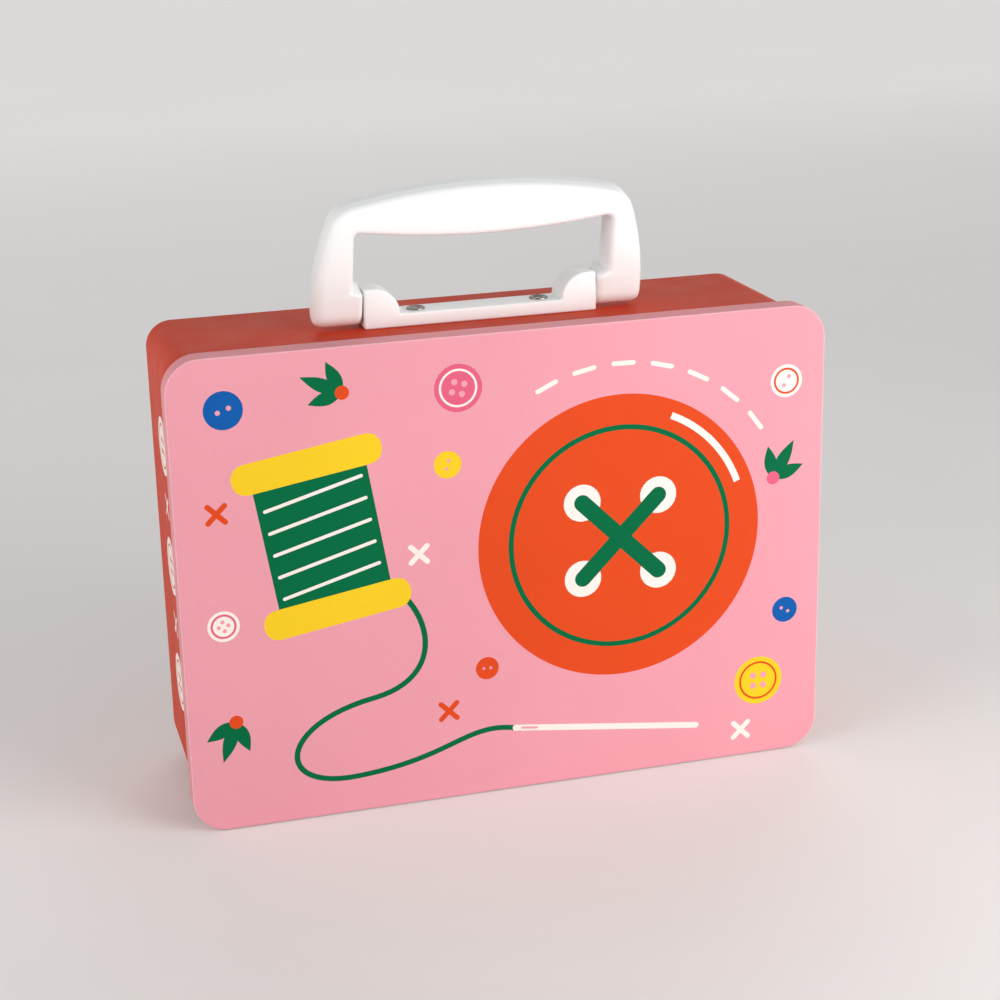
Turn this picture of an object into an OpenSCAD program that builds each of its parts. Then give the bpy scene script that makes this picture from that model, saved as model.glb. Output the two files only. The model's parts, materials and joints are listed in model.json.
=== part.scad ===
// Bobbin box: a carrying case of tinplate with a folding plastic handle and a slotted foam insert.
// X runs along the case, Y from the lid at the front to the back panel, and Z is up. Millimetres.
// The origin is the middle of the footprint, at the height of the lid's lower edge.

/* [Case] */
// Width of the case, over the lid
case_w = 210; // [180:1:240]
// Height of the case, over the lid
case_h = 152.5; // [130:0.5:180]
// Depth of the case, from the lid's face to the back
case_d = 67; // [60:0.5:90]
// Outer corner radius of the lid, seen from the front
lid_corner_r = 11; // [9:0.5:16]
// Thickness of the tinplate
tin_t = 0.3; // [0.2:0.05:0.4]
// How far the body stands inside the lid's outline
body_inset = 2.6; // [2.6:0.1:3.4]

/* [Lid] */
// Depth of the lid's skirt
skirt_d = 7.9; // [6.5:0.1:11]
// Outer radius where the lid's face turns into the skirt
lid_edge_r = 0.9; // [0.6:0.1:1.5]
// Width of the hem folded inside the skirt's edge
hem_w = 2.4; // [1.5:0.1:3]
// Gap between the lid's face and the body's rim
lid_gap = 0.5; // [0.4:0.1:1]

/* [Body] */
// Outer radius of the rim curled outwards round the body's mouth
rim_r = 0.8; // [0.6:0.05:0.85]
// Angle that the rim's curl turns through
rim_curl = 280; // [240:5:285]
// Outer radius of the body's rear edge
rear_edge_r = 1; // [0.7:0.1:1.5]
// Width of the lip folded over the back panel
rear_lip = 2.6; // [1.5:0.1:3]
// Width of the lock seam under the bottom
seam_w = 5; // [4:0.5:8]

/* [Back panel] */
// Length of the panel's flange inside the body
panel_flange = 3; // [2:0.5:6]
// Gap between the flange and the body
panel_fit = 0.05; // [0.03:0.01:0.1]
// Depth of the panel's sunk field
panel_sink = 0.9; // [0.5:0.1:1.5]
// Width of the flat border round the sunk field
panel_border = 5; // [4:0.1:5.4]
// Width of the slope down to the sunk field
panel_slope = 1.2; // [0.8:0.1:1.6]

/* [Hinge] */
// Diameter of the hinge wire
wire_d = 1.5; // [1.2:0.1:1.6]
// Running clearance of the wire in a knuckle, on the radius
wire_fit = 0.05; // [0.03:0.01:0.08]
// Number of knuckles in each hinge
knuckles = 5; // [3:2:7]
// Length of one knuckle
knuckle_l = 7; // [5:0.5:9]
// Gap between two knuckles
knuckle_gap = 0.4; // [0.3:0.1:0.8]
// Distance between the middles of the two hinges
hinge_pitch = 116; // [90:1:130]
// Gap between the skirt's edge and a body knuckle
hinge_gap = 0.4; // [0.3:0.1:0.8]

/* [Handle bracket] */
// Length of the bracket
bracket_l = 76; // [66:1:90]
// Depth of the bracket, front to back
bracket_d = 11.4; // [10:0.1:14]
// Thickness of the bracket's base plate
plate_t = 4.3; // [3.5:0.1:6]
// Height of the ears above the case
ear_h = 12.7; // [11.8:0.1:15]
// Length of the flat on top of an ear
ear_flat = 3.1; // [2.5:0.1:6]
// Radius of an ear's rounded shoulder
ear_r = 8.4; // [6:0.1:8.4]
// Wall of the moulding round its hollow underside
mould_wall = 1.7; // [1.4:0.1:2]
// Radius of the softened edges along the ears
ear_edge_r = 1.2; // [0.6:0.1:2]

/* [Handle grip] */
// Lean of the grip towards the lid, as the box stands
handle_lean = 14.5; // [0:0.5:30]
// Height of the pivot above the case
pivot_h = 6.5; // [6.4:0.1:7]
// Diameter of the stub that the grip turns on
stub_d = 6; // [4:0.1:7]
// Length of a stub
stub_l = 4.6; // [3:0.1:6]
// Running clearance of a stub in its bore, on the radius
stub_fit = 0.06; // [0.04:0.01:0.09]
// Gap between a leg and its ear
leg_gap = 0.3; // [0.2:0.05:0.5]
// Gap between the stub's end and the bottom of its bore
bore_end_gap = 0.7; // [0.4:0.1:1]
// Depth of the grip, front to back
grip_d = 11.4; // [10:0.1:11.8]
// Thickness of a leg at its foot
leg_w = 15.5; // [14:0.1:20]
// How far a leg's outer side curves in, foot to shoulder
leg_lean = 4.6; // [3:0.1:6]
// Height of the grip's crown above the pivot
crown_h = 39.9; // [38:0.1:48]
// Height of a shoulder's centre above the pivot
shoulder_h = 26.1; // [24:0.1:28]
// Radius of a shoulder
shoulder_r = 9.2; // [8:0.1:11]
// How much thinner a leg is above its pivot boss
boss_step = 3.1; // [1:0.1:4]
// Height of the opening's upper corners above the pivot
opening_h = 26.9; // [24:0.1:28]
// How far the underside of the bar bellies down in the middle
belly = 3.1; // [0:0.1:4]
// Radius of the opening's upper corners
opening_r = 2; // [1:0.1:4]
// Height of the pivot boss above the pivot
boss_h = 5.8; // [5:0.1:8]
// Height of the slope above the boss
boss_slope = 2; // [1:0.1:3]
// Edge radius along the outside of the grip
grip_outer_r = 3.4; // [2:0.1:4]
// Edge radius along the inside of the grip
grip_inner_r = 2.2; // [1:0.1:3]

/* [Rivets] */
// Distance of a rivet from the foot of its ear
rivet_inset = 6.2; // [4.6:0.1:8]
// Diameter of a rivet's shank
rivet_d = 3.2; // [2.8:0.1:3.6]
// Diameter of a rivet's head
rivet_head_d = 6; // [5:0.1:7]
// Height of a rivet's head
rivet_head_h = 0.6; // [0.4:0.1:1.4]
// Diameter of the hollow in a rivet
rivet_hollow_d = 2.2; // [1.6:0.1:2.4]
// Gap between a rivet and its holes, on the radius
rivet_fit = 0.05; // [0.03:0.01:0.1]
// Diameter of a washer
washer_d = 9; // [8:0.5:11]
// Thickness of a washer
washer_t = 0.8; // [0.6:0.1:1.2]
// Height of a rivet's clinched tail
tail_h = 0.9; // [0.6:0.1:1.4]

/* [Foam] */
// Columns of bobbin slots
slot_cols = 7; // [4:1:7]
// Rows of bobbin slots
slot_rows = 4; // [2:1:4]
// Width of a slot, across the bobbin's flanges
slot_w = 13; // [11:0.5:14]
// Height of a slot, along the bobbin's diameter
slot_h = 22.5; // [20:0.5:24]
// Depth of a slot
slot_depth = 18; // [14:0.5:24]
// Corner radius of a slot
slot_r = 2.5; // [1:0.5:4]
// Distance between columns
slot_pitch_x = 27.4; // [24:0.1:29]
// Distance between rows
slot_pitch_z = 34; // [30:0.5:35]
// How far the foam's face lies behind the lid's face
foam_setback = 4.8; // [3:0.1:8]
// Gap between the foam and the tin
foam_gap = 0.3; // [0.2:0.05:0.5]
// Corner radius of the foam
foam_corner_r = 7; // [5:0.5:9]

/* [Hidden] */
$fn = 64;
eps = 0.01;

// Steps of a small rounded edge, of the rim's curl and of an ear's shoulder
edge_n = 6;
rim_n = 20;
ear_n = 10;

red_tin = [0.80, 0.27, 0.18];
pink_tin = [0.96, 0.66, 0.72];
white_plastic = [0.95, 0.94, 0.92];
bright_steel = [0.75, 0.75, 0.77];
grey_foam = [0.93, 0.90, 0.88];

// Places along the depth and the height
y_front = -case_d / 2;
y_back = case_d / 2;
z_mid = case_h / 2;
y_skirt = y_front + skirt_d;
corner_x = case_w / 2 - lid_corner_r;
corner_z = z_mid - lid_corner_r;
body_corner_r = lid_corner_r - body_inset;
z_floor = body_inset;
z_roof = case_h - body_inset;
y_rim = y_front + tin_t + lid_gap;

// Hinge
wire_r = wire_d / 2;
knuckle_bore_r = wire_r + wire_fit;
knuckle_r = knuckle_bore_r + tin_t;
hinge_y = y_skirt + hinge_gap + knuckle_r;
hinge_z = knuckle_r;
hinge_l = knuckles * knuckle_l + (knuckles - 1) * knuckle_gap;

// Handle
handle_y = (y_rim + y_back) / 2;
bracket_x = bracket_l / 2;
pivot_z = z_roof + pivot_h;
leg_x = bracket_x + leg_gap;
leg_r = grip_d / 2;
stub_r = stub_d / 2;
stub_step = 0.6;
plate_z = z_roof + plate_t;
ear_foot_x = bracket_x - ear_flat - ear_r;

// How far an ear's hollow reaches under its shoulder, as a share of the shoulder's radius
core_reach = 0.4;

// Rivets
wall_in_z = z_roof - tin_t;
washer_z = wall_in_z - washer_t;
tail_z = washer_z - tail_h;
rivet_hole_r = rivet_d / 2 + rivet_fit;
rivet_x = ear_foot_x - rivet_inset;

// Back panel
panel_r = body_corner_r - tin_t - panel_fit;
panel_y = y_back - tin_t;
field_y = panel_y - tin_t - panel_sink;

// Foam
foam_w = 2 * (corner_x + panel_r - tin_t - foam_gap);
foam_z0 = z_mid - corner_z - panel_r + tin_t;
foam_z1 = tail_z - foam_gap;
foam_y0 = y_front + foam_setback;
foam_y1 = foam_y0 + slot_depth;

function arc(cx, cy, r, a0, a1, n) = [
    for (i = [0:n]) [cx + r * cos(a0 + (a1 - a0) * i / n), cy + r * sin(a0 + (a1 - a0) * i / n)]
];

function rounded_points(w, h, r, n) = concat(
    arc(w / 2 - r, h / 2 - r, r, 0, 90, n),
    arc(-w / 2 + r, h / 2 - r, r, 90, 180, n),
    arc(-w / 2 + r, -h / 2 + r, r, 180, 270, n),
    arc(w / 2 - r, -h / 2 + r, r, 270, 360, n)
);

module rounded_rect(w, h, r) {
    square([w - 2 * r, h], center = true);
    square([w, h - 2 * r], center = true);
    for (x = [-1, 1], y = [-1, 1])
        translate([x * (w / 2 - r), y * (h / 2 - r)])
            circle(r);
}

// Stands a front view up: its x stays, its y becomes Z, and its height becomes Y.
module stand() {
    mirror([0, 1, 0])
        rotate([90, 0, 0])
            children();
}

// Stands a side view up: its x becomes Y, its y becomes Z, and its height becomes X.
module side_view() {
    rotate([90, 0, 90])
        children();
}

// Runs a profile round the case. The profile's x is measured outwards from the corners' centres,
// and its y is the place along the depth.
module round_the_case() {
    translate([0, 0, z_mid])
        stand()
            for (i = [0:3]) {
                a = i % 2 == 0 ? corner_x : corner_z;
                b = i % 2 == 0 ? corner_z : corner_x;
                rotate([0, 0, 90 * i])
                    translate([a, b, 0]) {
                        rotate_extrude(angle = 90)
                            children();
                        rotate([90, 0, 0])
                            linear_extrude(2 * b)
                                children();
                    }
            }
}

// A flat sheet that fills the case's outline out to a radius about the corners' centres.
module case_sheet(r, y, t) {
    translate([0, y, z_mid])
        stand()
            linear_extrude(t)
                rounded_rect(2 * (corner_x + r), 2 * (corner_z + r), r);
}

// One knuckle's section round the wire, with the strip of tin that it is curled from.
module knuckle_section(strip) {
    difference() {
        union() {
            circle(knuckle_r);
            if (strip == "lid")
                translate([y_skirt - hem_w - hinge_y, -knuckle_r])
                    square([hinge_y - y_skirt + hem_w, tin_t]);
            if (strip == "body")
                translate([knuckle_r - tin_t, 0])
                    square([tin_t, z_floor - hinge_z + tin_t / 2]);
        }
        circle(knuckle_bore_r);
    }
}

// The lid's knuckles are the even ones of each hinge, and the body's are the odd ones.
module hinge_knuckles(strip) {
    first = strip == "lid" ? 1 : 0;
    for (side = [-1, 1], k = [first:2:knuckles - 1])
        translate([
            side * hinge_pitch / 2 - hinge_l / 2 + k * (knuckle_l + knuckle_gap),
            hinge_y,
            hinge_z
        ])
            side_view()
                linear_extrude(knuckle_l)
                    knuckle_section(strip);
}

module lid_profile() {
    r = lid_corner_r;
    e = lid_edge_r;
    polygon(concat(
        [[r - e - 1, y_front]],
        arc(r - e, y_front + e, e, -90, 0, edge_n),
        arc(r - tin_t, y_skirt - tin_t, tin_t, 0, 180, edge_n),
        [[r - 2 * tin_t, y_skirt - hem_w], [r - tin_t, y_skirt - hem_w]],
        arc(r - e, y_front + e, e - tin_t, 0, -90, edge_n),
        [[r - e - 1, y_front + tin_t]]
    ));
}

module lid() {
    color(pink_tin) {
        case_sheet(lid_corner_r - lid_edge_r, y_front, tin_t);
        round_the_case()
            lid_profile();
        hinge_knuckles("lid");
    }
}

module body_profile() {
    r = body_corner_r;
    rim_x = r - tin_t + rim_r;
    rim_y = y_rim + rim_r;
    e = rear_edge_r;
    polygon(concat(
        arc(rim_x, rim_y, rim_r, 180, 180 + rim_curl, rim_n),
        arc(rim_x, rim_y, rim_r - tin_t, 180 + rim_curl, 180, rim_n),
        arc(r - e, y_back - e, e, 0, 90, edge_n),
        [[r - e - rear_lip, y_back], [r - e - rear_lip, y_back - tin_t]],
        arc(r - e, y_back - e, e - tin_t, 90, 0, edge_n)
    ));
}

module rivet_places() {
    for (side = [-1, 1])
        translate([side * rivet_x, handle_y, 0])
            children();
}

// The folded seam that closes the band, proud of the underside between the hinge and the rear edge.
module lock_seam() {
    seam_y = hinge_y + 2 * knuckle_r;
    translate([-seam_w / 2, seam_y, z_floor - tin_t])
        cube([seam_w, y_back - rear_edge_r - seam_y, tin_t + eps]);
}

module body_wall() {
    color(red_tin)
        difference() {
            union() {
                round_the_case()
                    body_profile();
                hinge_knuckles("body");
                lock_seam();
            }
            rivet_places()
                translate([0, 0, wall_in_z - 1])
                    cylinder(r = rivet_hole_r, h = tin_t + 2);
        }
}

module panel_profile() {
    r = panel_r;
    e = rear_edge_r;
    step = r - panel_border;
    polygon(concat(
        [[r, panel_y - panel_flange]],
        arc(r - e, panel_y - e, e, 0, 90, edge_n),
        [
            [step, panel_y],
            [step - panel_slope, panel_y - panel_sink],
            [step - panel_slope - 1, panel_y - panel_sink],
            [step - panel_slope - 1, field_y],
            [step - panel_slope - tin_t / 2, field_y],
            [step - tin_t / 2, panel_y - tin_t]
        ],
        arc(r - e, panel_y - e, e - tin_t, 90, 0, edge_n),
        [[r - tin_t, panel_y - panel_flange]]
    ));
}

module back_panel() {
    color(red_tin) {
        case_sheet(panel_r - panel_border - panel_slope, field_y, tin_t);
        round_the_case()
            panel_profile();
    }
}

module hinge_wires() {
    color(bright_steel)
        for (side = [-1, 1])
            translate([side * hinge_pitch / 2 - hinge_l / 2, hinge_y, hinge_z])
                rotate([0, 90, 0])
                    cylinder(r = wire_r, h = hinge_l);
}

// The bracket from the front: a plate with an ear at each end, each rounded towards the middle.
module bracket_outline() {
    ear_in = bracket_x - ear_flat;
    polygon(concat(
        [[bracket_x, 0], [bracket_x, ear_h]],
        arc(ear_in, ear_h - ear_r, ear_r, 90, 180, ear_n),
        [[ear_in - ear_r, plate_t], [-ear_in + ear_r, plate_t]],
        arc(-ear_in, ear_h - ear_r, ear_r, 0, 90, ear_n),
        [[-bracket_x, ear_h], [-bracket_x, 0]]
    ));
}

// The bracket from its end, with the top edges softened.
module bracket_end() {
    d = bracket_d / 2;
    e = ear_edge_r;
    polygon(concat(
        [[-d, 0], [d, 0]],
        arc(d - e, ear_h - e, e, 0, 90, edge_n),
        arc(-d + e, ear_h - e, e, 90, 180, edge_n)
    ));
}

// The hollows under the bracket: one up each ear, and three under the plate round the rivets' bosses.
module bracket_hollows() {
    depth = bracket_d - 2 * mould_wall;
    boss_r = rivet_d / 2 + mould_wall;
    ear_core = ear_flat + ear_r * core_reach - mould_wall;
    core_h = plate_t - mould_wall;
    mid_l = 2 * (rivet_x - boss_r);
    outer_x = bracket_x - 2 * mould_wall - ear_core;
    outer_l = outer_x - rivet_x - boss_r;
    for (side = [-1, 1]) {
        translate([side * (bracket_x - mould_wall - ear_core / 2), 0, core_h / 2 - eps])
            cube([ear_core, depth, core_h + 2 * eps], center = true);
        translate([side * (bracket_x - mould_wall - ear_core / 2), 0, (ear_h - mould_wall) / 2])
            cube([ear_core, depth, ear_h - mould_wall], center = true);
        translate([side * (outer_x - outer_l / 2), 0, core_h / 2])
            cube([outer_l, depth, core_h], center = true);
        translate([side * (mid_l + mould_wall) / 4, 0, core_h / 2])
            cube([(mid_l - mould_wall) / 2, depth, core_h], center = true);
    }
}

module stubs() {
    for (side = [0, 1])
        mirror([side, 0, 0])
            translate([bracket_x - mould_wall, 0, pivot_h])
                rotate([0, 90, 0]) {
                    cylinder(r = stub_r, h = mould_wall + stub_l - stub_step);
                    cylinder(r = stub_r - stub_step, h = mould_wall + stub_l);
                }
}

module handle_bracket() {
    color(white_plastic)
        difference() {
            translate([0, handle_y, z_roof])
                difference() {
                    union() {
                        intersection() {
                            translate([0, -bracket_d / 2, 0])
                                stand()
                                    linear_extrude(bracket_d)
                                        bracket_outline();
                            translate([-bracket_x - 1, 0, 0])
                                side_view()
                                    linear_extrude(2 * bracket_x + 2)
                                        bracket_end();
                        }
                        stubs();
                    }
                    bracket_hollows();
                }
            rivet_places()
                translate([0, 0, z_roof - 1])
                    cylinder(r = rivet_hole_r, h = plate_t + 2);
        }
}

// The grip is a bar swept from one foot over the crown to the other. A station holds the outer and
// the inner edge of the section, in the front view about the pivots' height, and its half depth.
foot_x = leg_x + leg_w;
foot_start = 82;
foot_out_r = 3;
foot_in_r = 0.6;
slope_top = boss_h + boss_slope;
open_x = leg_x + boss_step;
bar_in = open_x - opening_r;

// The outside is five arcs, each tangent to the next: two legs, two shoulders and the crown.
shoulder_x = foot_x - leg_lean - shoulder_r;
leg_out = foot_x - shoulder_x;
leg_curve_r = (pow(leg_out, 2) + pow(shoulder_h, 2) - pow(shoulder_r, 2)) / (2 * leg_lean);
crown_rise = crown_h - shoulder_h;
crown_r = (pow(shoulder_x, 2) + pow(crown_rise, 2) - pow(shoulder_r, 2)) / (2 * (crown_rise - shoulder_r));
shoulder_start = atan2(shoulder_h, shoulder_x - foot_x + leg_curve_r);
shoulder_end = atan2(shoulder_h - crown_h + crown_r, shoulder_x);
shoulder_foot = leg_curve_r * sin(shoulder_start);
bar_x = crown_r * cos(shoulder_end);

function round_in(r, h) = h >= r ? 0 : r - sqrt(pow(r, 2) - pow(r - h, 2));
function ease(t) = t * t * (3 - 2 * t);
function leg_at(z) = foot_x - leg_curve_r + sqrt(pow(leg_curve_r, 2) - pow(z, 2));
function crown_at(x) = crown_h - crown_r + sqrt(pow(crown_r, 2) - pow(x, 2));
function belly_at(x) = opening_h - belly * (1 - pow(x / bar_in, 2));

foot_n = 6;
foot_stations = [
    for (i = [0:foot_n])
        let (
            b = foot_start * (1 - i / foot_n),
            h = leg_r * (1 - sin(b)),
            z = -leg_r * sin(b)
        )
            [foot_x - round_in(foot_out_r, h), z, leg_x + round_in(foot_in_r, h), z, leg_r * cos(b)]
];
slope_n = 3;
leg_n = 3;
leg_stations = concat(
    [for (z = [boss_h / 2, boss_h]) [leg_at(z), z, leg_x, z, leg_r]],
    [
        for (i = [1:slope_n])
            let (z = boss_h + boss_slope * i / slope_n)
                [leg_at(z), z, leg_x + boss_step * ease(i / slope_n), z, leg_r]
    ],
    [
        for (i = [1:leg_n])
            let (
                t = i / (leg_n + 1),
                zo = slope_top + (shoulder_foot - slope_top) * t,
                zi = slope_top + (opening_h - opening_r - slope_top) * t
            )
                [leg_at(zo), zo, open_x, zi, leg_r]
    ]
);
shoulder_n = 9;
shoulder_stations = [
    for (i = [0:shoulder_n])
        let (
            a = shoulder_start + (shoulder_end - shoulder_start) * i / shoulder_n,
            c = 90 * i / shoulder_n
        )
            [
                shoulder_x + shoulder_r * cos(a),
                shoulder_h + shoulder_r * sin(a),
                bar_in + opening_r * cos(c),
                opening_h - opening_r + opening_r * sin(c),
                leg_r
            ]
];
bar_n = 7;
bar_stations = [
    for (i = [1:bar_n])
        let (xo = bar_x * (1 - i / bar_n), xi = bar_in * (1 - i / bar_n))
            [xo, crown_at(xo), xi, belly_at(xi), leg_r]
];
half_stations = concat(foot_stations, leg_stations, shoulder_stations, bar_stations);
half_n = len(half_stations);
stations = concat(half_stations, [
    for (i = [half_n - 2:-1:0])
        let (s = half_stations[i])
            [-s[0], s[1], -s[2], s[3], s[4]]
]);
corner_n = 5;
ring_n = 4 * (corner_n + 1);

// The largest edge radius of a section, as a share of its half depth
round_share = 0.96;

function corner_points(o, e, h, r, a0, sy) = [
    for (i = [0:corner_n])
        let (a = a0 + 90 * i / corner_n)
            [o[0] + e[0] * r * cos(a), sy * (h - r) + r * sin(a), o[1] + e[1] * r * cos(a)]
];

function section_ring(s) =
    let (
        d = [s[0] - s[2], s[1] - s[3]],
        e = d / norm(d),
        ro = min(grip_outer_r, s[4] * round_share),
        ri = min(grip_inner_r, s[4] * round_share),
        co = [s[0] - e[0] * ro, s[1] - e[1] * ro],
        ci = [s[2] + e[0] * ri, s[3] + e[1] * ri]
    )
        concat(
            corner_points(co, e, s[4], ro, 0, 1),
            corner_points(ci, e, s[4], ri, 90, 1),
            corner_points(ci, e, s[4], ri, 180, -1),
            corner_points(co, e, s[4], ro, 270, -1)
        );

module grip_bar() {
    rings = [for (s = stations) section_ring(s)];
    n = len(rings);
    polyhedron(
        points = [for (ring = rings, p = ring) p],
        faces = concat(
            [[for (j = [0:ring_n - 1]) j]],
            [
                for (k = [0:n - 2], j = [0:ring_n - 1], half = [0, 1])
                    let (
                        a = k * ring_n + j,
                        b = k * ring_n + (j + 1) % ring_n
                    )
                        half == 0 ? [a, a + ring_n, b] : [b, a + ring_n, b + ring_n]
            ],
            [[for (j = [ring_n - 1:-1:0]) (n - 1) * ring_n + j]]
        )
    );
}

module handle_grip() {
    bore_l = stub_l - leg_gap + bore_end_gap;
    color(white_plastic)
        translate([0, handle_y, pivot_z])
            rotate([handle_lean, 0, 0])
                difference() {
                    grip_bar();
                    for (side = [0, 1])
                        mirror([side, 0, 0])
                            translate([leg_x - 1, 0, 0])
                                rotate([0, 90, 0])
                                    cylinder(r = stub_r + stub_fit, h = bore_l + 1);
                }
}

// Half section of a rivet: a domed head with a hollow down the shank, and a tail clinched over.
module rivet_section() {
    shank_r = rivet_d / 2;
    head_r = rivet_head_d / 2;
    hollow_r = rivet_hollow_d / 2;
    tail_r = head_r - 0.2;
    tail_slope = 0.3;
    dome_r = rivet_head_h * 0.8;
    brim_r = rivet_head_h * 0.5;
    hollow_h = plate_t * 0.6;
    tip_h = plate_t * 0.15;
    head_z = plate_z - washer_z;
    polygon(concat(
        [[0, -tail_h], [tail_r - tail_slope, -tail_h], [tail_r, -tail_h / 2], [tail_r, 0]],
        [[shank_r, 0], [shank_r, head_z], [head_r, head_z]],
        arc(head_r - dome_r, head_z + rivet_head_h - dome_r, dome_r, 0, 90, edge_n),
        arc(hollow_r + brim_r, head_z + rivet_head_h - brim_r, brim_r, 90, 180, edge_n),
        [[hollow_r, head_z - hollow_h], [0, head_z - hollow_h - tip_h]]
    ));
}

module handle_rivets() {
    color(bright_steel)
        rivet_places()
            translate([0, 0, washer_z])
                rotate_extrude()
                    rivet_section();
}

module rivet_washers() {
    color(bright_steel)
        rivet_places()
            translate([0, 0, washer_z])
                difference() {
                    cylinder(d = washer_d, h = washer_t);
                    translate([0, 0, -1])
                        cylinder(r = rivet_hole_r, h = washer_t + 2);
                }
}

module foam_sheet(y0, y1) {
    translate([0, y0, (foam_z0 + foam_z1) / 2])
        stand()
            linear_extrude(y1 - y0)
                difference() {
                    rounded_rect(foam_w, foam_z1 - foam_z0, foam_corner_r);
                    children();
                }
}

module foam_tray() {
    slot_n = 4;
    color(grey_foam)
        foam_sheet(foam_y0, foam_y1)
            for (i = [0:slot_cols - 1], j = [0:slot_rows - 1])
                translate([
                    (i - (slot_cols - 1) / 2) * slot_pitch_x,
                    (j - (slot_rows - 1) / 2) * slot_pitch_z
                ])
                    polygon(rounded_points(slot_w, slot_h, slot_r, slot_n));
}

module foam_block() {
    color(grey_foam)
        foam_sheet(foam_y1, field_y);
}

body_wall();
back_panel();
lid();
hinge_wires();
handle_bracket();
handle_grip();
handle_rivets();
rivet_washers();
foam_tray();
foam_block();
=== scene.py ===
"""Looks of the bobbin box: printed tinplate case, folding white handle, hinge, rivets and foam."""

import json
import math

import bmesh
import bpy
import numpy as np
from mathutils import Matrix, Vector
from mathutils.geometry import delaunay_2d_cdt

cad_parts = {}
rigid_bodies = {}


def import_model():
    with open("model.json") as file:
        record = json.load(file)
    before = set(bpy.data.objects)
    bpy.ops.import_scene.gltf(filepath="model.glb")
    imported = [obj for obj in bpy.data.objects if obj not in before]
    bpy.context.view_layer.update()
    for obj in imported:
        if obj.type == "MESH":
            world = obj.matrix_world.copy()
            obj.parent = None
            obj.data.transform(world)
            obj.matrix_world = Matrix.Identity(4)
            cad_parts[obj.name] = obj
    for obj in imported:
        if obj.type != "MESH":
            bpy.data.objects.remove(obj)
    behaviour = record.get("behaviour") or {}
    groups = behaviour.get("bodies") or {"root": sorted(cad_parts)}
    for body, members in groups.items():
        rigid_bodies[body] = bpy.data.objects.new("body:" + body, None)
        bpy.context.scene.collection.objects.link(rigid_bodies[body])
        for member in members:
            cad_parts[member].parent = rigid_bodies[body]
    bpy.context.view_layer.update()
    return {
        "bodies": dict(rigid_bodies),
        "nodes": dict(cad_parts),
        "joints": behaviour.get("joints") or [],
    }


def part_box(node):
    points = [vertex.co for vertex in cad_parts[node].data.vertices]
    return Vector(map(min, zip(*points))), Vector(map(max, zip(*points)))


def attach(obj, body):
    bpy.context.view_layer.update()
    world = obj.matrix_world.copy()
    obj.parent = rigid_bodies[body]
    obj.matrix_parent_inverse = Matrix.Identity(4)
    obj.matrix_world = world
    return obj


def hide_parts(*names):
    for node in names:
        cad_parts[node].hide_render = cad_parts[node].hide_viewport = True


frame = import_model()

MM = 0.001

# ---------------- sizes, from the frame
lid_low, lid_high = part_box("lid")
wall_low, wall_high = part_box("body_wall")
foam_low, foam_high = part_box("foam_tray")
grip_low, grip_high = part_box("handle_grip")
rivet_low, rivet_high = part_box("handle_rivets")
joints = {j["name"]: Vector(j["pos_m"]) for j in frame["joints"]}
hinge = joints["lid_hinge"]
pivot = joints["handle_fold"]

TIN = 0.3 * MM
LID_CORNER = 11 * MM
LID_EDGE = 0.6 * MM
SKIRT = 7.9 * MM
HEM = 2.4 * MM
INSET = 2.6 * MM
RIM = 0.8 * MM
REAR_EDGE = 1.0 * MM
REAR_LIP = 2.6 * MM
BODY_CORNER = LID_CORNER - INSET

front_y = lid_low.y
back_y = wall_high.y
skirt_y = front_y + SKIRT
mid_z = (lid_low.z + lid_high.z) / 2
corner_x = lid_high.x - LID_CORNER
corner_z = (lid_high.z - lid_low.z) / 2 - LID_CORNER
roof_z = lid_high.z - INSET
floor_z = lid_low.z + INSET
rim_y = wall_low.y


# ---------------- colours
def srgb(r, g, b):
    """A screen colour of 0 to 255 as the linear colour that shaders use."""
    linear = []
    for c in (r, g, b):
        c /= 255
        linear.append(c / 12.92 if c <= 0.04045 else ((c + 0.055) / 1.055) ** 2.4)
    return (*linear, 1.0)


PINK = srgb(237, 160, 172)
# Paler pink for the middle of the lid's pressed edge: a painted highlight
PINK_EDGE_HIGHLIGHT = srgb(247, 187, 196)
# Darker pink for the lid's skirt and hem: painted shade
PINK_SKIRT_SHADE = srgb(230, 152, 158)
RED = srgb(204, 60, 26)
INK_ORANGE = srgb(226, 76, 32)
INK_GREEN = srgb(0, 106, 64)
INK_YELLOW = srgb(247, 205, 40)
INK_BLUE = srgb(18, 92, 170)
INK_ROSE = srgb(228, 98, 130)
INK_CREAM = srgb(253, 238, 230)
WHITE = srgb(247, 249, 248)
WHITE_FLOW = srgb(244, 246, 245)
FOAM = srgb(238, 233, 228)
FOAM_DARKER = srgb(226, 220, 214)
# Darker colour in the hollows of the foam's cut cells: painted shade
FOAM_PORE_SHADE = srgb(196, 188, 182)
STEEL = srgb(158, 154, 150)
STEEL_DULL = srgb(118, 114, 110)
BARE_TIN = srgb(208, 206, 201)
BARE_TIN_CLOUD = srgb(199, 196, 189)
FLOOR = srgb(228, 226, 224)
FLOOR_DARKER = srgb(224, 222, 220)
BACKDROP = srgb(224, 225, 223)


# ---------------- materials
# Most of a noise texture's values lie between these two
NOISE_LOW, NOISE_HIGH = 0.3, 0.7


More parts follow.
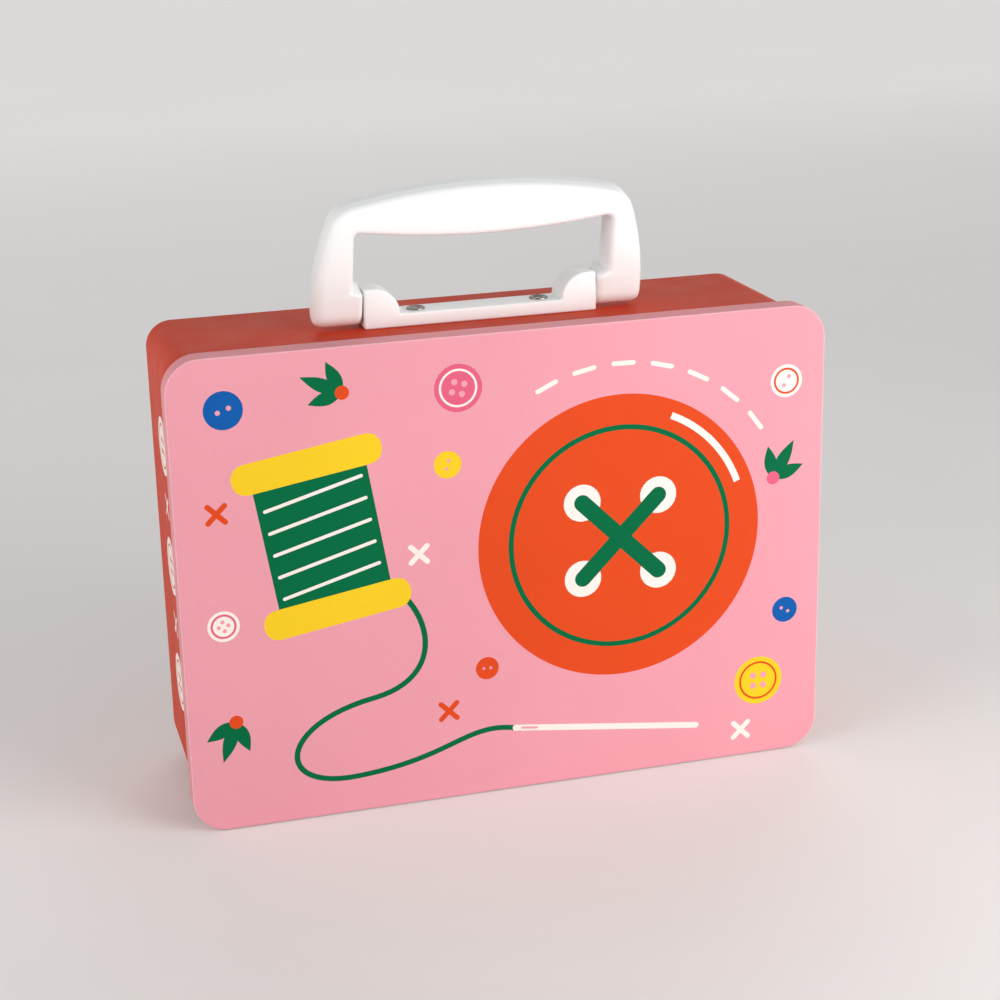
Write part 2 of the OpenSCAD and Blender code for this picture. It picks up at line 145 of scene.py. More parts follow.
class Shader:
    """A material's nodes, with short calls for the few kinds that are used here."""

    def __init__(self, name, roughness, metallic=0.0, **inputs):
        self.material = bpy.data.materials.new(name)
        self.material.use_nodes = True
        self.tree = self.material.node_tree
        self.surface = self.tree.nodes["Principled BSDF"]
        self.fill(self.surface, Roughness=roughness, Metallic=metallic, **inputs)
        self.place = self.node("TexCoord").outputs["Object"]

    def fill(self, node, **inputs):
        """Sets or links a node's inputs, named with _ in place of each space."""
        for name, value in inputs.items():
            socket = node.inputs[name.replace("_", " ")]
            if isinstance(value, bpy.types.NodeSocket):
                self.tree.links.new(value, socket)
            else:
                socket.default_value = value
        return node

    def node(self, kind, **inputs):
        return self.fill(self.tree.nodes.new("ShaderNode" + kind), **inputs)

    def stretched(self, scale):
        """Object coordinates scaled by a vector, for grain that runs one way."""
        return self.node("Mapping", Scale=scale, Vector=self.place).outputs["Vector"]

    def noise(self, size, detail, place=None):
        """Noise whose blotches are about size metres across."""
        place = place or self.place
        node = self.node("TexNoise", Scale=0.5 / size, Detail=detail, Vector=place)
        return node.outputs["Fac"]

    def cells(self, size):
        """Distance to the nearest of a scatter of points about size metres apart."""
        return self.node("TexVoronoi", Scale=1 / size, Vector=self.place).outputs["Distance"]

    def spread(self, value, low, high, from_low=NOISE_LOW, from_high=NOISE_HIGH):
        """A value moved to the range from low to high."""
        node = self.node("MapRange", Value=value, To_Min=low, To_Max=high)
        return self.fill(node, From_Min=from_low, From_Max=from_high).outputs["Result"]

    def mixed(self, factor, first, second):
        """A mix of two colours, each plain or from a node."""
        node = self.node("Mix")
        node.data_type = "RGBA"
        return self.fill(node, Factor=factor, A=first, B=second).outputs["Result"]

    def shaded(self, colour, value, low, high):
        """A colour lightened and darkened by a value."""
        node = self.node("HueSaturation", Color=colour)
        return self.fill(node, Value=self.spread(value, low, high)).outputs["Color"]

    def ink(self):
        """The colour printed on each face."""
        node = self.node("Attribute")
        node.attribute_name = "print"
        return node.outputs["Color"]

    def colour(self, output):
        self.fill(self.surface, Base_Color=output)

    def roughness(self, output):
        self.fill(self.surface, Roughness=output)

    def bump(self, *layers):
        """Stacks bumps, each a height and its depth in metres."""
        below = {}
        for height, depth in layers:
            node = self.node("Bump", Strength=1.0, Distance=depth, Height=height, **below)
            below = {"Normal": node.outputs["Normal"]}
        self.fill(self.surface, **below)


def printed_tin():
    """Lacquered print on tinplate: satin, with a slow ripple in the sheet and a fine orange peel."""
    s = Shader("printed_tinplate", 0.45, IOR=1.45, Specular_IOR_Level=0.08)
    blotch = s.noise(30 * MM, 3)
    grain = s.noise(0.35 * MM, 1)
    peel = s.noise(1.6 * MM, 2)
    ripple = s.noise(70 * MM, 1)
    s.colour(s.shaded(s.shaded(s.ink(), blotch, 0.975, 1.025), grain, 0.985, 1.015))
    s.roughness(s.spread(s.noise(6 * MM, 4), 0.4, 0.5))
    s.bump((ripple, 0.5 * MM), (peel, 0.006 * MM))
    return s.material


def bare_tin():
    """The lacquered inside of the sheet: bright, with the mill's grain along the case."""
    s = Shader("bare_tinplate", 0.35, 1.0)
    grain = s.noise(0.5 * MM, 4, s.stretched((0.03, 1, 1)))
    clouds = s.noise(14 * MM, 4)
    s.colour(s.mixed(s.spread(clouds, 0, 1), BARE_TIN, BARE_TIN_CLOUD))
    s.roughness(s.spread(grain, 0.3, 0.42))
    s.bump((s.noise(60 * MM, 1), 0.5 * MM), (grain, 0.005 * MM))
    return s.material


def white_moulding():
    """Satin white plastic with a spark-eroded grain and faint flow marks."""
    s = Shader(
        "white_moulding",
        0.36,
        IOR=1.49,
        Subsurface_Weight=0.12,
        Subsurface_Scale=2.5 * MM,
        Subsurface_Radius=(1.0, 0.95, 0.9),
        Coat_Weight=0.12,
        Coat_Roughness=0.3,
    )
    flow = s.noise(9 * MM, 3, s.stretched((0.4, 1, 1)))
    grain = s.noise(0.28 * MM, 2)
    s.colour(s.mixed(s.spread(flow, 0, 1), WHITE, WHITE_FLOW))
    s.roughness(s.spread(grain, 0.32, 0.44))
    s.bump((flow, 0.05 * MM), (grain, 0.006 * MM))
    return s.material


def plated_steel(name, grain_scale):
    """Bright plated steel with drawing marks and a little dulling."""
    s = Shader(name, 0.24, 1.0)
    marks = s.noise(0.12 * MM, 3, s.stretched(grain_scale))
    dull = s.noise(1.5 * MM, 3)
    s.colour(s.mixed(s.spread(dull, 0, 1), STEEL, STEEL_DULL))
    s.roughness(s.spread(marks, 0.16, 0.36))
    s.bump((marks, 0.004 * MM))
    return s.material


def closed_cell_foam():
    """Matt foam: open-cut cells at the surface, darkened in their hollows with painted shade, and soft
    uneven tone.
    """
    s = Shader("closed_cell_foam", 0.88, Sheen_Weight=0.25, Sheen_Roughness=0.6)
    pores = s.cells(0.55 * MM)
    coarse = s.cells(1.5 * MM)
    tone = s.noise(12 * MM, 4)
    base = s.mixed(s.spread(tone, 0, 1), FOAM, FOAM_DARKER)
    # The middle of each cell, where the bump sinks, takes painted shade
    s.colour(s.mixed(s.spread(pores, 0.35, 0.0, 0.05, 0.35), base, FOAM_PORE_SHADE))
    s.bump((coarse, 0.10 * MM), (pores, 0.12 * MM))
    return s.material


# ---------------- mesh helpers
def arc(x, y, r, start, end, steps):
    """Points along an arc, both ends included; angles in degrees."""
    angles = [math.radians(start + (end - start) * i / steps) for i in range(steps + 1)]
    return [(x + r * math.cos(a), y + r * math.sin(a)) for a in angles]


CORNER_STEPS = 14
OUTER_STEPS, INNER_STEPS = 8, 6
# How far the extra points beside a curve are from it, which keeps the shading of the flats flat
SUPPORT = 0.7 * MM
DOUBLES = 0.002 * MM


def case_loop(u):
    """Points round the case at u outwards from the corners' centres, seen from the front. Each
    corner has a point before and after it on the straight."""
    loop = []
    for quarter in range(4):
        start = 90 * quarter
        x = corner_x if quarter in (0, 3) else -corner_x
        z = corner_z if quarter in (0, 1) else -corner_z
        points = arc(x, z, u, start, start + 90, CORNER_STEPS)
        first, last = math.radians(start), math.radians(start + 90)
        before = (points[0][0] + math.sin(first) * SUPPORT, points[0][1] - math.cos(first) * SUPPORT)
        after = (points[-1][0] - math.sin(last) * SUPPORT, points[-1][1] + math.cos(last) * SUPPORT)
        loop += [before, *points, after]
    return loop


PER_CORNER = CORNER_STEPS + 3
LEFT_STRAIGHT = 2 * PER_CORNER - 1
RIGHT_STRAIGHT = 4 * PER_CORNER - 1


class Builder:
    """Collects a mesh face by face, with a material index and a print colour for each face."""

    def __init__(self):
        self.verts, self.faces, self.slots, self.inks = [], [], [], []

    def face(self, corners, slot=0, ink=None):
        self.faces.append(tuple(corners))
        self.slots.append(slot)
        self.inks.append(ink)

    def ring(self, loop, y):
        start = len(self.verts)
        self.verts += [(x, y, mid_z + z) for x, z in loop]
        return start, len(loop)

    def sweep(self, profile, slots, inks, closed, skip=()):
        """Runs a profile of (outwards, depth) points round the case. slots and inks hold each
        step's material and colour, and skip the (profile step, loop step) pairs left open."""
        rings = [self.ring(case_loop(u), y) for u, y in profile]
        steps = len(profile) if closed else len(profile) - 1
        for i in range(steps):
            (a, n), (b, _) = rings[i], rings[(i + 1) % len(rings)]
            for j in range(n):
                k = (j + 1) % n
                if (i, j) not in skip:
                    self.face((a + j, a + k, b + k, b + j), slots[i], inks[i])
        return rings

    def cap(self, ring, slot=0, ink=None, turned=False):
        """Closes a ring with one flat face."""
        start, n = ring
        corners = range(start, start + n)
        self.face(reversed(corners) if turned else corners, slot, ink)

    def prism(self, first, last, ink=None, capped=True):
        """A form between two like outlines, closed at the ends if it is capped."""
        start, n = len(self.verts), len(first)
        self.verts += [*first, *last]
        for i in range(n):
            k = (i + 1) % n
            self.face((start + i, start + k, start + n + k, start + n + i), 0, ink)
        if capped:
            self.cap((start, n), ink=ink, turned=True)
            self.cap((start + n, n), ink=ink)

    def printed(self, border, shapes, ground, place):
        """A flat face split along the shapes printed on it. place() takes a point of the design,
        in millimetres, to where it belongs."""
        flat, faces, inks = printed_faces(border, shapes, ground)
        start = len(self.verts)
        self.verts += [place(*point) for point in flat]
        for face, ink in zip(faces, inks):
            self.face((start + i for i in face), 0, ink)

    def mesh(self, name):
        mesh = bpy.data.meshes.new(name)
        mesh.from_pydata(self.verts, [], self.faces)
        mesh.polygons.foreach_set("material_index", self.slots)
        if any(self.inks):
            layer = mesh.attributes.new("print", "FLOAT_COLOR", "CORNER")
            colours = []
            for face, ink in zip(self.faces, self.inks):
                colours += list(ink or BARE_TIN) * len(face)
            layer.data.foreach_set("color", colours)
        mesh.update()
        return mesh


def smoothed(mesh, sharp_angle):
    """The mesh shaded smooth, but for edges that turn by more than the angle in degrees."""
    mesh.shade_smooth()
    mesh.set_sharp_from_angle(angle=math.radians(sharp_angle))
    return mesh


def cleaned(mesh, sharp_angle):
    """Merges doubles, points the faces outwards, and shades smooth up to an angle."""
    b = bmesh.new()
    b.from_mesh(mesh)
    bmesh.ops.remove_doubles(b, verts=b.verts, dist=DOUBLES)
    bmesh.ops.recalc_face_normals(b, faces=b.faces)
    b.to_mesh(mesh)
    b.free()
    return smoothed(mesh, sharp_angle)


def placed(name, data):
    """A new object in the scene."""
    o = bpy.data.objects.new(name, data)
    bpy.context.scene.collection.objects.link(o)
    return o


def piece(name, mesh, body, slot, *materials, stands_for=()):
    """A finished piece: its mesh is in place, and its object stays at the origin."""
    o = placed(name, mesh)
    indices = [0] * len(mesh.polygons)
    mesh.polygons.foreach_get("material_index", indices)
    mesh.materials.clear()
    for m in materials:
        mesh.materials.append(m)
    mesh.polygons.foreach_set("material_index", indices)
    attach(o, body)
    if stands_for:
        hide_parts(*stands_for)
    return o


def with_modifiers(mesh, add):
    """The mesh after the modifiers that add() puts on an object made from it."""
    o = placed("draft", mesh)
    add(o)
    made = bpy.data.meshes.new_from_object(o.evaluated_get(bpy.context.evaluated_depsgraph_get()))
    bpy.data.objects.remove(o)
    return made


def bevelled(mesh, width, segments, angle):
    """The mesh with its edges rounded where they turn by more than the angle in degrees."""

    def add(o):
        m = o.modifiers.new("soft_edges", "BEVEL")
        m.width = width
        m.segments = segments
        m.limit_method = "ANGLE"
        m.angle_limit = math.radians(angle)
        m.harden_normals = False

    return with_modifiers(mesh, add)


# ---------------- repeats, by Geometry Nodes
ROW_INPUTS = {
    "Geometry": "Geometry",
    "Count": "Int",
    "Step": "Vector",
    "Start": "Vector",
    "Pair Pitch": "Float",
    "Material": "Material",
}


def row_tree():
    """Copies the mesh along a row, and the row to both sides of the middle. Returns the nodes and
    what a modifier calls each input."""
    tree = bpy.data.node_groups.new("row_on_both_sides", "GeometryNodeTree")
    add, socket = tree.nodes.new, tree.interface.new_socket
    sockets = [
        socket(name, in_out="INPUT", socket_type="NodeSocket" + kind).identifier
        for name, kind in ROW_INPUTS.items()
    ]
    socket("Geometry", in_out="OUTPUT", socket_type="NodeSocketGeometry")

    def link(source, output, target, socket):
        tree.links.new(source.outputs[output], target.inputs[socket])

    given, result = add("NodeGroupInput"), add("NodeGroupOutput")
    line = add("GeometryNodeMeshLine")
    line.mode = "OFFSET"
    link(given, "Count", line, "Count")
    link(given, "Start", line, "Start Location")
    link(given, "Step", line, "Offset")
    copies = add("GeometryNodeInstanceOnPoints")
    link(line, "Mesh", copies, "Points")
    link(given, "Geometry", copies, "Instance")
    joined = add("GeometryNodeJoinGeometry")
    for half in (-0.5, 0.5):
        offset = add("ShaderNodeMath")
        offset.operation = "MULTIPLY"
        offset.inputs[1].default_value = half
        link(given, "Pair Pitch", offset, 0)
        along_x = add("ShaderNodeCombineXYZ")
        link(offset, "Value", along_x, "X")
        moved = add("GeometryNodeTransform")
        link(copies, "Instances", moved, "Geometry")
        link(along_x, "Vector", moved, "Translation")
        link(moved, "Geometry", joined, "Geometry")
    real = add("GeometryNodeRealizeInstances")
    painted = add("GeometryNodeSetMaterial")
    link(joined, "Geometry", real, "Geometry")
    link(real, "Geometry", painted, "Geometry")
    link(given, "Material", painted, "Material")
    link(painted, "Geometry", result, "Geometry")
    return tree, sockets


ROW_TREE, ROW_SOCKETS = row_tree()


def row(mesh, *values):
    """Runs the row tree on a mesh and returns the plain result. The values are a count, a step, a
    start, the pitch of the pair and a material."""

    def add(o):
        m = o.modifiers.new("row", "NODES")
        m.node_group = ROW_TREE
        for socket, value in zip(ROW_SOCKETS[1:], values):
            m[socket] = value
        o.update_tag()

    return with_modifiers(mesh, add)


# ---------------- the print
# Shapes are outlines in millimetres about the middle of the face; a later one covers an earlier one.
def disc(x, z, r):
    return arc(x, z, r, 0, 360, max(28, int(r * 4)))[:-1]


def bar(x0, z0, x1, z1, width):
    """A stroke with round ends."""
    a = math.degrees(math.atan2(z1 - z0, x1 - x0))
    r = width / 2
    return arc(x0, z0, r, a + 90, a + 270, 8) + arc(x1, z1, r, a - 90, a + 90, 8)


def stroke(points, width):
    """A curved stroke of even width through the points."""
    p = np.array(points)
    t = np.gradient(p, axis=0)
    t /= np.linalg.norm(t, axis=1)[:, None]
    n = np.stack([-t[:, 1], t[:, 0]], 1) * width / 2
    return [tuple(q) for q in np.concatenate([p + n, (p - n)[::-1]])]


def curve(a, b, c, d, steps=24):
    """Points along a cubic curve with two end points and two handles."""
    out = []
    for i in range(steps + 1):
        t = i / steps
        w = ((1 - t) ** 3, 3 * t * (1 - t) ** 2, 3 * t * t * (1 - t), t**3)
        out.append(tuple(sum(k * p[axis] for k, p in zip(w, (a, b, c, d))) for axis in (0, 1)))
    return out


def turned(points, x, z, turn):
    """Points turned by degrees and moved to (x, z)."""
    c, s = math.cos(math.radians(turn)), math.sin(math.radians(turn))
    return [(x + a * c - b * s, z + a * s + b * c) for a, b in points]


def leaf(x, z, length, width, turn):
    """A pointed leaf from its stalk end, turned by degrees."""
    side = [(length * i / 10, width / 2 * math.sin(math.pi * (i / 10) ** 0.85)) for i in range(11)]
    return turned(side + [(a, -b) for a, b in side[-2:0:-1]], x, z, turn)


def block(x, z, w, h, r, turn=0):
    """A rectangle with round corners, turned by degrees."""
    points = []
    for i, (sx, sz) in enumerate(((1, 1), (-1, 1), (-1, -1), (1, -1))):
        points += arc(sx * (w / 2 - r), sz * (h / 2 - r), r, 90 * i, 90 * i + 90, 5)
    return turned(points, x, z, turn)


def eyes(x, z, reach, r, count, turn, ink):
    """Holes in a ring, the first of them turned by degrees."""
    return [(disc(*p, r), ink) for p in arc(x, z, reach, turn, turn + 360, count)[:-1]]


def button(x, z, r, ink, holes, turn, rim):
    """A sewing button: a disc, a fine line inside its rim, and two or four holes."""
    shapes = [(disc(x, z, r), ink)]
    if rim:
        shapes += [(disc(x, z, r * 0.80), rim), (disc(x, z, r * 0.80 - 0.7), ink)]
    return shapes + eyes(x, z, r * 0.3, r * 0.13, holes, turn, PINK)


def reel(x, z, w, h, lean):
    """A reel of thread: wound body, a flange at each end, and windings across it."""
    flange = 0.17 * h

    def at(across, along):
        return turned([(across, along)], x, z, lean)[0]

    shapes = [(block(x, z, 0.76 * w, 0.9 * h, 0.05 * w, lean), INK_GREEN)]
    for end in (-1, 1):
        middle = at(0, end * (h - flange) / 2)
        shapes.append((block(*middle, w, flange, 0.45 * flange, lean), INK_YELLOW))
    for i in range(5):
        along = (i - 2) * 0.125 * h
        start, stop = at(-0.33 * w, along - 0.03 * h), at(0.33 * w, along + 0.03 * h)
        shapes.append((bar(*start, *stop, 1.1), INK_CREAM))
    return shapes


def sprig(x, z, turn, berry):
    """Three leaves and a berry."""
    leaves = ((-40, 11), (0, 14), (40, 11))
    shapes = [(leaf(x, z, length, 4.4, turn + apart), INK_GREEN) for apart, length in leaves]
    return shapes + [(disc(x, z, 2.2), berry)]


def crossed(x, z, half, width, ink):
    """Two strokes that cross."""
    return [(bar(x - half, z - s * half, x + half, z + s * half, width), ink) for s in (-1, 1)]


def sewn_button(x, z, r):
    """The large button: a dished rim, a highlight, four eyes, and the thread crossed in them."""
    shapes = [(disc(x, z, r), INK_ORANGE)]
    shapes += [(disc(x, z, r * 0.79), INK_GREEN), (disc(x, z, r * 0.79 - 1.7), INK_ORANGE)]
    shapes.append((stroke(arc(x, z, r * 0.895, 20, 66, 20), 2.2), INK_CREAM))
    reach = r * 0.27
    for sx in (-1, 1):
        for sz in (-1, 1):
            shapes.append((disc(x + sx * reach, z + sz * reach, r * 0.13), INK_CREAM))
    return shapes + crossed(x, z, reach, 5.4, INK_GREEN)


def running_stitch(x, z, r):
    """Short strokes over the top right of a circle."""
    shapes = []
    for i in range(7):
        start = 118 - 13 * i
        ends = arc(x, z, r, start, start - 6.5, 1)
        shapes.append((bar(*ends[0], *ends[1], 1.5), INK_CREAM))
    return shapes


LARGE_BUTTON = (36, 6, 47)
REEL = (-60, 17, 47, 58, 9)
# The loose thread runs from the reel to the needle's eye, through the ends and handles of curves
THREAD = (
    (-42, 1), (-26, -10), (-22, -34), (-46, -38), (-78, -43),
    (-80, -66), (-52, -64), (-20, -62), (-16, -50), (2, -55.6),
)  # fmt: skip
NEEDLE, NEEDLE_EYE = (0, -55, 62, -63, 2.1), (2.2, -55.3, 7, -55.9, 0.8)
SMALL_BUTTONS = (
    (-88, 60, 6.0, INK_BLUE, 2, 20, None),
    (-16, 60, 7.6, INK_ROSE, 4, 30, INK_CREAM),
    (-20, 36, 4.4, INK_YELLOW, 2, 75, None),
    (92, 52, 5.4, INK_CREAM, 2, 60, INK_ORANGE),
    (93, -26, 4.4, INK_BLUE, 2, -30, None),
    (84, -50, 8.4, INK_YELLOW, 4, 45, INK_ORANGE),
    (-92, -8, 5.0, INK_CREAM, 4, 10, INK_ROSE),
    (-9, -33, 3.8, INK_ORANGE, 2, 0, None),
)
SPRIGS = ((-52, 62, 155, INK_ORANGE), (-90, -40, 250, INK_ORANGE), (88, 20, 60, INK_ROSE))
CROSSES = (
    (-30, 8, INK_CREAM),
    (-92, 28, INK_ORANGE),
    (-22, -46, INK_ORANGE),
    (78, -67, INK_CREAM),
)


def lid_design():
    """A large button sewn on at the right, a reel at the left, and small notions round them."""
    loose = list(THREAD[:1])
    for i in range(0, len(THREAD) - 1, 3):
        loose += curve(*THREAD[i : i + 4])[1:]
    shapes = [(stroke(loose, 1.8), INK_GREEN)]
    shapes += [(bar(*NEEDLE), INK_CREAM), (bar(*NEEDLE_EYE), PINK)]
    shapes += reel(*REEL) + sewn_button(*LARGE_BUTTON)
    for small in SMALL_BUTTONS:
        shapes += button(*small)
    for one in SPRIGS:
        shapes += sprig(*one)
    x, z, r = LARGE_BUTTON
    shapes += running_stitch(x, z, r + 10)
    for x, z, ink in CROSSES:
        shapes += crossed(x, z, 2.6, 1.7, ink)
    return shapes


def side_design():
    """Three cream buttons up the end of the case, with crossed stitches between them."""
    shapes = []
    rings = ((9.5, INK_CREAM), (7.4, RED), (6.8, INK_CREAM))
    for z in (-40, 0, 40):
        shapes += [(disc(0, z, r), ink) for r, ink in rings]
        shapes += eyes(0, z, 2.6, 1.1, 4, 45, RED)
    for z in (-20, 20):
        shapes += crossed(0, z, 3, 1.4, INK_CREAM)
    return shapes


def inside(points, outline):
    """Which points lie inside an outline."""
    x, z = points[:, 0], points[:, 1]
    hit = np.zeros(len(points), bool)
    for (x1, z1), (x2, z2) in zip(outline, outline[1:] + outline[:1]):
        if z1 == z2:
            continue
        crosses = (z1 > z) != (z2 > z)
        hit ^= crosses & (x < (x2 - x1) * (z - z1) / (z2 - z1) + x1)
    return hit


PRINT_MERGE = 1e-5


def printed_faces(boundary, shapes, ground):
    """Splits a convex flat face along the printed shapes' outlines. Returns its points, its
    triangles, and each triangle's colour."""
    points, edges = [], []
    for outline in [boundary] + [s for s, _ in shapes]:
        start, n = len(points), len(outline)
        points += [Vector(p) for p in outline]
        edges += [(start + i, start + (i + 1) % n) for i in range(n)]
    found, _, faces, _, _, _ = delaunay_2d_cdt(points, edges, [], 0, PRINT_MERGE)
    flat = np.array([tuple(p) for p in found])
    centres = np.array([flat[list(f)].mean(0) for f in faces])
    inks = [ground] * len(faces)
    for outline, ink in shapes:
        for i in np.nonzero(inside(centres, outline))[0]:
            inks[i] = ink
    return flat, faces, inks


# ---------------- the case
# The lid's profile steps that take the painted highlight on its edge
HIGHLIGHT_FROM, HIGHLIGHT_TO = 3, 7
SHEET_SHARP = 50


def build_lid(print_material, tin_material):
    """The pressed lid: printed face, edge radius, skirt, folded hem and bare inside. The middle of
    the pressed edge is painted a paler pink, a painted highlight, and the skirt and hem a darker pink,
    painted shade."""
    r, e, t = LID_CORNER, LID_EDGE, TIN
    edge = arc(r - e, front_y + e, e, -90, 0, OUTER_STEPS)
    hem_out = arc(r - t, skirt_y - t, t, 0, 180, OUTER_STEPS)
    inner_edge = arc(r - e, front_y + e, e - t, 0, -90, INNER_STEPS)
    profile = [
        (r - e - SUPPORT, front_y),
        *edge,
        (r, front_y + e + SUPPORT),
        (r, skirt_y - t - SUPPORT),
        *hem_out,
        (r - 2 * t, skirt_y - HEM),
        (r - t, skirt_y - HEM),
        (r - t, front_y + e + SUPPORT),
        *inner_edge,
        (r - e - SUPPORT, front_y + t),
    ]
    outside = 1 + len(edge) + 2 + len(hem_out)
    inside_steps = len(profile) - outside
    slots = [0] * outside + [1] * inside_steps
    # Painted highlight on the middle of the edge, painted shade on the skirt and hem
    inks = [PINK] * HIGHLIGHT_FROM + [PINK_EDGE_HIGHLIGHT] * (HIGHLIGHT_TO - HIGHLIGHT_FROM)
    inks += [PINK_SKIRT_SHADE] * (outside - HIGHLIGHT_TO) + [PINK] * inside_steps
    b = Builder()
    rings = b.sweep(profile, slots, inks, False)
    b.cap(rings[-1], 1)
    border = [(x / MM, z / MM) for x, z in case_loop(profile[0][0])]
    b.printed(border, lid_design(), PINK, lambda x, z: (x * MM, front_y, mid_z + z * MM))
    mesh = cleaned(b.mesh("lid_shell"), SHEET_SHARP)
    materials = (print_material, tin_material)
    return piece("lid_shell", mesh, "lid", "pink_tin", *materials, stands_for=["lid"])


CURL_FROM, CURL_TO = 180, 460
CURL_STEPS = 30
PLAIN_AT_RIM, PLAIN_AT_LIP = 3 * MM, 2 * MM


def print_sides(b, front, back):
    """The printed flats at both ends of the case, which fill the openings left in the sweep."""
    middle_y = (skirt_y + back_y) / 2
    half_z = (corner_z - SUPPORT) / MM
    y0, y1 = (front - middle_y) / MM, (back - middle_y) / MM
    border = [(y0, -half_z), (y1, -half_z), (y1, half_z), (y0, half_z)]
    for side in (-1, 1):
        x = side * (corner_x + BODY_CORNER)
        b.printed(border, side_design(), RED, lambda y, z: (x, middle_y + y * MM, mid_z + z * MM))


def build_body(print_material, tin_material):
    """The wrapped band: printed outside, folded rear lip and bare inside. The rim curls outwards,
    so that the bare side runs over its top."""
    r, t, e = BODY_CORNER, TIN, REAR_EDGE
    rim_u, rim_at = r - t + RIM, rim_y + RIM
    curl_out = arc(rim_u, rim_at, RIM, CURL_FROM, CURL_TO, CURL_STEPS)
    curl_in = arc(rim_u, rim_at, RIM - t, CURL_TO, CURL_FROM, CURL_STEPS)
    rear_out = arc(r - e, back_y - e, e, 0, 90, OUTER_STEPS)
    rear_in = arc(r - e, back_y - e, e - t, 90, 0, INNER_STEPS)
    print_front, print_back = rim_at + PLAIN_AT_RIM, back_y - e - PLAIN_AT_LIP
    profile = [
        *curl_out,
        *curl_in,
        (r, rim_at + SUPPORT),
        (r, print_front),
        (r, print_back),
        *rear_out,
        (r - e - REAR_LIP, back_y),
        (r - e - REAR_LIP, back_y - t),
        *rear_in,
        (r - t, back_y - e - SUPPORT),
        (r - t, rim_at + SUPPORT),
    ]
    printed_step = len(curl_out) + len(curl_in) + 1
    inner_from = printed_step + 1 + len(rear_out) + 2
    slots = [0 if len(curl_out) <= i < inner_from else 1 for i in range(len(profile))]
    skip = {(printed_step, LEFT_STRAIGHT), (printed_step, RIGHT_STRAIGHT)}
    b = Builder()
    b.sweep(profile, slots, [RED] * len(profile), True, skip)
    print_sides(b, print_front, print_back)
    mesh = cleaned(b.mesh("body_shell"), SHEET_SHARP)
    materials = (print_material, tin_material)
    return piece("body_shell", mesh, "case", "red_tin", *materials, stands_for=["body_wall"])


SEAM_HALF = 2.5 * MM
SEAM_FOLD = 0.3 * MM
SEAM_AFTER_HINGE = 2.2 * MM


def build_lock_seam(material):
    """The folded seam under the case that closes the band."""
    half, drop = SEAM_HALF, TIN
    section = [(-half, 0), (-half, -drop / 2), (-half + SEAM_FOLD, -drop), (half, -drop), (half, 0)]
    ends = [
        [(x, y, floor_z + z) for x, z in section]
        for y in (hinge.y + SEAM_AFTER_HINGE, back_y - REAR_EDGE)
    ]
    b = Builder()
    b.prism(*ends, RED)
    mesh = cleaned(b.mesh("lock_seam"), 40)
    return piece("lock_seam", mesh, "case", "red_tin", material)


BACK_PLAY = 0.05 * MM
BACK_BORDER = 5 * MM
BACK_SLOPE, BACK_SINK = 1.2 * MM, 0.9 * MM
BACK_FLANGE = 3 * MM
BACK_ROUND = 0.5 * MM


def build_back(print_material):
    """The pressed back panel: flange, flat border and sunk field."""
    t, e, soft = TIN, REAR_EDGE, BACK_ROUND
    r = BODY_CORNER - t - BACK_PLAY
    y = back_y - t
    step = r - BACK_BORDER
    field, sunk_y = step - BACK_SLOPE, y - BACK_SINK
    outer = [
        (r, y - BACK_FLANGE),
        *arc(r - e, y - e, e, 0, 90, OUTER_STEPS),
        (step + soft, y),
        *arc(step, y - soft, soft, 90, 142, 3)[1:],
        (field + 0.2 * MM, sunk_y + 0.15 * MM),
        (field, sunk_y),
        (field - soft, sunk_y),
    ]
    inner = [
        (field - soft, sunk_y - t),
        (field - t / 2, sunk_y - t),
        (step - t / 2, y - t),
        *arc(r - e, y - e, e - t, 90, 0, INNER_STEPS),
        (r - t, y - BACK_FLANGE),
    ]
    profile = outer + inner
    b = Builder()
    gap = len(outer) - 1
    skip = {(gap, j) for j in range(4 * PER_CORNER)}
    rings = b.sweep(profile, [0] * len(profile), [RED] * len(profile), True, skip)
    b.cap(rings[gap], ink=RED)
    b.cap(rings[gap + 1], ink=RED, turned=True)
    mesh = cleaned(b.mesh("back_shell"), 35)
    return piece("back_shell", mesh, "case", "red_tin", print_material, stands_for=["back_panel"])


# ---------------- the hinge
KNUCKLES = 5
KNUCKLE = 7 * MM
KNUCKLE_GAP = 0.4 * MM
KNUCKLE_STEPS = 28
KNUCKLE_WRAP = 330
HINGE_PITCH = 116 * MM
HINGE_SHARP = 40


def knuckle_mesh(strip, ink):
    """One curled knuckle, its strip running to the lid's skirt or up to the case."""
    r_out = hinge.z
    r_in = r_out - TIN
    if strip == "lid":
        start, stop = 270, 270 + KNUCKLE_WRAP
        first, last = (skirt_y - HEM / 2, 0.0), (skirt_y - HEM / 2, TIN)
    else:
        start, stop = 0, -KNUCKLE_WRAP
        first, last = (hinge.y + r_out, floor_z + TIN / 2), (hinge.y + r_in, floor_z + TIN / 2)
    section = [first, *arc(hinge.y, hinge.z, r_out, start, stop, KNUCKLE_STEPS)]
    section += [*arc(hinge.y, hinge.z, r_in, stop, start, KNUCKLE_STEPS), last]
    b = Builder()
    b.prism(*([(x, y, z) for y, z in section] for x in (0, KNUCKLE)), ink, capped=False)
    n = len(section)
    for i in range(n // 2 - 1):
        c = n - 1 - i
        b.face((i, c, c - 1, i + 1), 0, ink)
        b.face((n + i, n + i + 1, n + c - 1, n + c), 0, ink)
    return cleaned(b.mesh("knuckle"), HINGE_SHARP)


